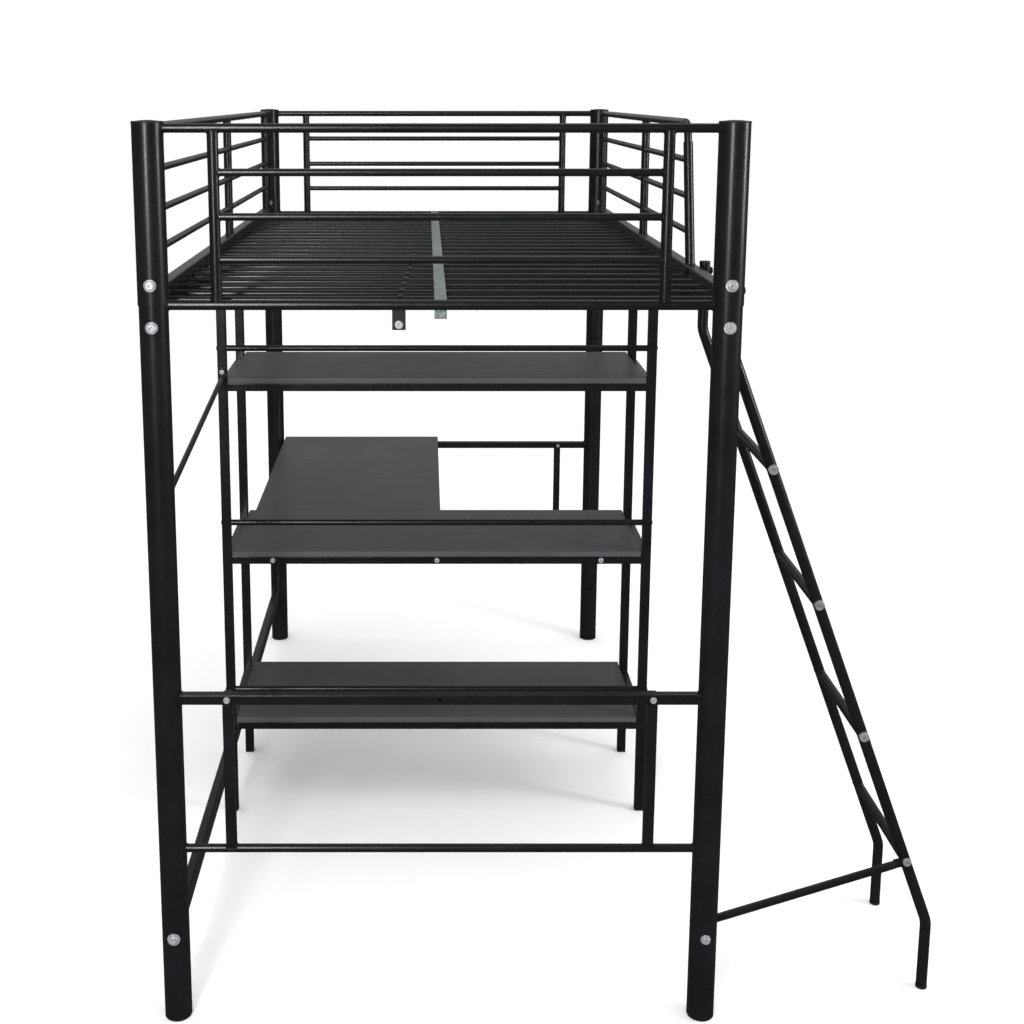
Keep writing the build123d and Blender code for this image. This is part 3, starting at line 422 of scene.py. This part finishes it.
bm = bmesh.new()
for y in (0.0, FAR):
    for sx in (-1, 1):
        post = (sx * POST_X, y, 0)
        for sec, z, rho in ((R85, TOP_Z, 1.3), (R95, DECK_Z, 1.9), (SQ20, 677.5, 1.8), (R825, 363.0, 1.7)):
            weld(bm, (sx * 480, y, z), (sx, 0, 0), sec, ("cyl", post, (0, 0, 1), post_r), rho)
        x = sx * 409.0
        weld(bm, (x, y, DECK_Z + 40), (0, 0, -1), R1025, ("cyl", (0, y, DECK_Z), (1, 0, 0), 9.5), 1.6, stop=34.0)
        weld(bm, (x, y, TOP_Z - 40), (0, 0, 1), R1025, ("cyl", (0, y, TOP_Z), (1, 0, 0), 8.5), 1.5, stop=36.0)
        weld(bm, (x, y, 363.0 + 40), (0, 0, -1), SQ20, ("cyl", (0, y, 363.0), (1, 0, 0), 8.25), 1.6, stop=37.0)
        for z in END_BARS:
            weld(bm, (sx * 370, y, z), (sx, 0, 0), R70, ("cyl", (x, y, 0), (0, 0, 1), 10.25), 1.4)
mesh_object("weld_beads_end_frames", bm, M_WELD)

bm = bmesh.new()
for sx in (-1, 1):
    x = sx * SIDE_X
    for y0, dy in ((0.0, -1), (FAR, 1)):
        if sx == 1 and dy == -1:
            continue
        weld(bm, (x, y0 - dy * 80, TOP_Z), (0, dy, 0), R85, ("cyl", (sx * POST_X, y0, 0), (0, 0, 1), 28.5), 1.3)
    ups = [51.0, 1056.0, 1889.0] if sx < 0 else [1056.0, 1889.0]
    for y in ups:
        weld(bm, (x, y, SIDE_TOP + 40), (0, 0, -1), R1025, ("plane", (x, y, SIDE_TOP), (0, 0, 1)), 1.7)
        weld(bm, (x, y, TOP_Z - 40), (0, 0, 1), R1025, ("cyl", (x, 0, TOP_Z), (0, 1, 0), 8.5), 1.5, stop=36.0)
    for z in SIDE_BARS:
        for a, b in zip(ups, ups[1:]):
            weld(bm, (x, a + 60, z), (0, -1, 0), R70, ("cyl", (x, a, 0), (0, 0, 1), 10.25), 1.4)
            weld(bm, (x, b - 60, z), (0, 1, 0), R70, ("cyl", (x, b, 0), (0, 0, 1), 10.25), 1.4)
        if sx > 0:
            axis = (0, 497.0 - 416.0, TOP_Z - (SIDE_TOP - 12.0))
            weld(bm, (x, 600, z), (0, -1, 0), R70, ("cyl", (x, 416.0, SIDE_TOP - 12.0), axis, 10.25), 1.4)
            weld(bm, (x, 1056.0 - 60, z), (0, 1, 0), R70, ("cyl", (x, 1056.0, 0), (0, 0, 1), 10.25), 1.4)
ax = Vector((0, 416.0 - 497.0, (SIDE_TOP - 12.0) - TOP_Z)).normalized()
p = Vector((SIDE_X, 416.0, SIDE_TOP - 12.0)) - ax * 90
weld(bm, p, ax, R1025, ("plane", (0, 0, SIDE_TOP), (0, 0, 1)), 1.7)
mesh_object("weld_beads_side_guards", bm, M_WELD)

bm = bmesh.new()
SLAT_Y = [60.0 + (1880.0 - 60.0) * i / 22.0 for i in range(23)]
R80s = round_section(8.0, 28)
for y in SLAT_Y:
    for sx in (-1, 1):
        weld(bm, (sx * 480, y, DECK_Z), (sx, 0, 0), R80s, ("plane", (sx * 522.0, y, 0), (sx, 0, 0)), 1.3)
mesh_object("weld_beads_slats", bm, M_WELD)

bm = bmesh.new()
for zt in (1142.3, 700.5, 258.2):
    zc = zt - 23.0
    for sx in (-1, 1):
        for y in (802.0, 1123.0):
            weld(bm, (sx * 470, y, zc), (sx, 0, 0), SQ20, ("plane", (sx * 513.0, y, 0), (sx, 0, 0)), 1.4)
        weld(bm, (sx * 524.0, 860, zc), (0, -1, 0), SQ20, ("plane", (0, 813.0, 0), (0, -1, 0)), 1.4)
        weld(bm, (sx * 524.0, 1060, zc), (0, 1, 0), SQ20, ("plane", (0, 1112.0, 0), (0, 1, 0)), 1.4)
        weld(bm, (sx * 470, 802.0, zt + 72.6), (sx, 0, 0), R75, ("plane", (sx * 513.0, 0, 0), (sx, 0, 0)), 1.4)
for hx in (-410.0, 0.0, 410.0):
    weld(bm, (hx, 860, 677.5), (0, -1, 0), SQ20, ("plane", (0, 812.0, 0), (0, -1, 0)), 1.3)
    weld(bm, (hx, 1060, 677.5), (0, 1, 0), SQ20, ("plane", (0, 1113.0, 0), (0, 1, 0)), 1.3)
for sx in (-1, 1):
    for y in (802.0, 1123.0):
        weld(bm, (sx * 524.0, y, 1390.0), (0, 0, 1), SQ22, ("plane", (0, 0, 1425.0), (0, 0, 1)), 1.5)
mesh_object("weld_beads_shelf_unit", bm, M_WELD)


# ------------------------------------------------------------------ edge bands of the boards
def edge_band(name, x0, x1, y0, y1, ztop, t=13.0):
    """A thin band glued around a board's edges, its long corners eased."""
    bm = bmesh.new()
    rc, n = 1.2, 5
    path, outs = [], []
    for k, (cx, cy) in enumerate(((x1 - rc, y1 - rc), (x0 + rc, y1 - rc), (x0 + rc, y0 + rc), (x1 - rc, y0 + rc))):
        for j in range(n + 1):
            a = math.pi / 2 * k + math.pi / 2 * j / n
            path.append((cx + rc * math.cos(a), cy + rc * math.sin(a)))
            outs.append(Vector((math.cos(a), math.sin(a), 0)))
    zc = ztop - t / 2
    h = t / 2
    prof = [(-0.5, h - 0.02), (-0.30, h + 0.03), (-0.05, h - 0.12), (0.12, h - 0.45), (0.20, h - 0.9),
            (0.20, 0.9 - h), (0.12, 0.45 - h), (-0.05, 0.12 - h), (-0.30, -h - 0.03), (-0.5, 0.02 - h)]
    cs = [row(px, py, zc) for px, py in path]
    up = Vector((0, 0, 1))
    ring_band(bm, cs, [(o, up) for o in outs], lambda i: [(a / 1000, b / 1000) for a, b in prof])
    return mesh_object(name, bm, M_BAND)


edge_band("edge_band_top_shelf", -510, 510, 791.0, 1139.5, 1142.3)
edge_band("edge_band_middle_shelf", -510, 510, 791.0, 1139.3, 700.5)
edge_band("edge_band_bottom_shelf", -510, 510, 791.0, 1139.5, 258.2)
edge_band("edge_band_desk", -494, 12, 1140.2, 1958.0, 700.5)


# ------------------------------------------------------------------ tie strip over the slats
def tie_strip():
    """Thin galvanised strip: pressed down a little between slats, spot welded
    to each slat, its ends folded down inside the end rails."""
    W, T = 23.0, 1.2
    zc = 1452.6
    path = []
    ya, yb, zlow, rb = 14.6, FAR - 14.6, 1416.0, 2.2
    for i in range(16):
        path.append((ya, zlow + (zc - rb - zlow) * i / 16))
    for j in range(7):
        a = math.pi - math.pi / 2 * j / 6
        path.append((ya + rb + rb * math.cos(a), zc - rb + rb * math.sin(a)))
    n = 960
    for i in range(1, n):
        path.append((ya + rb + (yb - ya - 2 * rb) * i / n, zc))
    for j in range(7):
        a = math.pi / 2 - math.pi / 2 * j / 6
        path.append((yb - rb + rb * math.cos(a), zc - rb + rb * math.sin(a)))
    for i in range(1, 17):
        path.append((yb, zc - rb - (zc - rb - zlow) * i / 16))
    cols = 12
    bm = bmesh.new()
    top, bot = [], []
    for i, (y, z) in enumerate(path):
        p0, p1 = path[max(0, i - 1)], path[min(len(path) - 1, i + 1)]
        ty, tz = p1[0] - p0[0], p1[1] - p0[1]
        L = math.hypot(ty, tz)
        ny, nz = -tz / L, ty / L
        flat = z > zc - 0.01
        near = min(abs(y - s) for s in SLAT_Y)
        sag = 0.0
        if flat and SLAT_Y[0] < y < SLAT_Y[-1]:
            sag = -0.32 * (1 - math.cos(2 * math.pi * min(near, 41.36) / 82.73)) / 2
        A, B = [], []
        for j in range(cols + 1):
            f = -1 + 2 * j / cols
            x = f * W / 2
            ed = max(0.0, abs(f) - 0.93) / 0.07
            dip = 0.0
            if flat:
                for sx in (-5.5, 5.5):
                    r2 = (x - sx) ** 2 + near ** 2
                    dip -= 0.42 * math.exp(-r2 / 7.0)
                    dip += 0.12 * math.exp(-((math.sqrt(r2) - 4.2) ** 2) / 2.0)
            wave = 0.06 * noise.noise(Vector((x * 0.12, y * 0.02, 3.1)))
            ot = T / 2 - 0.22 * ed + dip + wave
            ob_ = -T / 2 + 0.22 * ed + wave
            A.append(bm.verts.new(row(x, y + ny * ot, z + nz * ot + sag)))
            B.append(bm.verts.new(row(x, y + ny * ob_, z + nz * ob_ + sag)))
        top.append(A)
        bot.append(B)
    for i in range(len(path) - 1):
        for j in range(cols):
            bm.faces.new((top[i][j], top[i][j + 1], top[i + 1][j + 1], top[i + 1][j]))
            bm.faces.new((bot[i][j + 1], bot[i][j], bot[i + 1][j], bot[i + 1][j + 1]))
        bm.faces.new((bot[i][0], top[i][0], top[i + 1][0], bot[i + 1][0]))
        bm.faces.new((top[i][cols], bot[i][cols], bot[i + 1][cols], top[i + 1][cols]))
    for A, B, flip in ((top[0], bot[0], False), (top[-1], bot[-1], True)):
        for j in range(cols):
            f = (A[j], B[j], B[j + 1], A[j + 1])
            bm.faces.new(tuple(reversed(f)) if flip else f)
    ob = mesh_object("tie_strip_pressed", bm, M_GALV)
    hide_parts("slat_tie_strip")


tie_strip()


# ------------------------------------------------------------------ floor
def floor():
    bm = bmesh.new()
    n, half = 16, 900.0
    grid = [[bm.verts.new((-half + 2 * half * i / n, -half + 2 * half * j / n, -0.0004)) for j in range(n + 1)] for i in range(n + 1)]
    for i in range(n):
        for j in range(n):
            bm.faces.new((grid[i][j], grid[i + 1][j], grid[i + 1][j + 1], grid[i][j + 1]))
    me = bpy.data.meshes.new("studio_floor")
    bm.to_mesh(me)
    bm.free()
    ob = bpy.data.objects.new("studio_floor", me)
    SCENE.collection.objects.link(ob)
    m, nt, bs, vec = new_mat("pale_studio_floor")
    slow = noise_tex(nt, vec, 1.2, 3.0, 0.5)
    fine = noise_tex(nt, vec, 300.0, 2.0, 0.5)
    nt.links.new(ramp(nt, slow, [(0.3, (0.925, 0.925, 0.925)), (0.7, (0.95, 0.95, 0.95))]), bs.inputs["Base Color"])
    nt.links.new(remap(nt, fine, 0.75, 0.9), bs.inputs["Roughness"])
    bs.inputs["Specular IOR Level"].default_value = 0.1
    me.materials.append(m)
    ob.visible_glossy = False
    return ob


floor()


# ------------------------------------------------------------------ light
def area(name, loc, target, sx, sy, watts, colour=(1, 1, 1), diffuse=1.0):
    li = bpy.data.lights.new(name, "AREA")
    li.shape = "RECTANGLE"
    li.size, li.size_y = sx, sy
    li.energy = watts
    li.color = colour
    li.diffuse_factor = diffuse
    ob = bpy.data.objects.new(name, li)
    SCENE.collection.objects.link(ob)
    ob.location = loc
    ob.rotation_mode = "QUATERNION"
    ob.rotation_quaternion = (Vector(target) - Vector(loc)).to_track_quat("-Z", "Y")
    return ob


CX, CY = -0.229, -0.5
D = 3.6
a = math.radians(12)
area("softbox_left", (CX - D * math.sin(a) - 0.2, CY - D * math.cos(a), 2.35), (CX, CY, 1.35), 0.42, 2.2, 64, diffuse=0.3)
a = math.radians(76)
area("softbox_right", (CX + D * math.sin(a), CY - D * math.cos(a), 2.35), (CX, CY, 1.3), 0.6, 2.2, 54, diffuse=0.3)
area("softbox_overhead", (0.0, 0.6, 4.4), (0.0, 0.2, 1.0), 3.2, 2.2, 20, diffuse=0.4)

world = bpy.data.worlds.new("studio_world")
SCENE.world = world
world.use_nodes = True
wt = world.node_tree
wt.nodes.clear()
wo = wt.nodes.new("ShaderNodeOutputWorld")
bg = wt.nodes.new("ShaderNodeBackground")
dim = wt.nodes.new("ShaderNodeBackground")
bg.inputs[0].default_value = (1.0, 1.0, 1.0, 1.0)
bg.inputs[1].default_value = 1.12
dim.inputs[0].default_value = (1.0, 1.0, 1.02, 1.0)
dim.inputs[1].default_value = 0.05
lp = wt.nodes.new("ShaderNodeLightPath")
mx = wt.nodes.new("ShaderNodeMixShader")
# reflections see a dim studio with a pale wall low behind the far end
wtc = wt.nodes.new("ShaderNodeTexCoord")
wsp = wt.nodes.new("ShaderNodeSeparateXYZ")
wt.links.new(wtc.outputs["Generated"], wsp.inputs[0])
wall = math_node(wt, "MULTIPLY", remap(wt, wsp.outputs["Y"], 0.0, 1.0, 0.45, 0.95), remap(wt, wsp.outputs["Z"], 0.0, 1.0, 0.0, 0.10))
wall = math_node(wt, "MULTIPLY", wall, remap(wt, wsp.outputs["Z"], 1.0, 0.0, 0.35, 0.85))
wt.links.new(math_node(wt, "ADD", 0.045, math_node(wt, "MULTIPLY", wall, 0.30)), dim.inputs[1])
wt.links.new(lp.outputs["Is Glossy Ray"], mx.inputs[0])
wt.links.new(bg.outputs[0], mx.inputs[1])
wt.links.new(dim.outputs[0], mx.inputs[2])
wt.links.new(mx.outputs[0], wo.inputs["Surface"])

SCENE.view_settings.view_transform = "Standard"

# ------------------------------------------------------------------ camera
cam_data = bpy.data.cameras.new("camera")
cam = bpy.data.objects.new("camera", cam_data)
SCENE.collection.objects.link(cam)
SCENE.camera = cam
cam_data.sensor_width = 36.0
cam_data.lens = 47.98
cam_data.shift_x = 0.0840
cam_data.shift_y = -0.165
cam_data.dof.use_dof = False
cam_data.clip_start, cam_data.clip_end = 0.05, 2000.0
cam.location = (-0.2562, -3.4363, 1.8215)
cam.rotation_euler = (math.pi / 2 - math.radians(10.3), 0.0, 0.0)
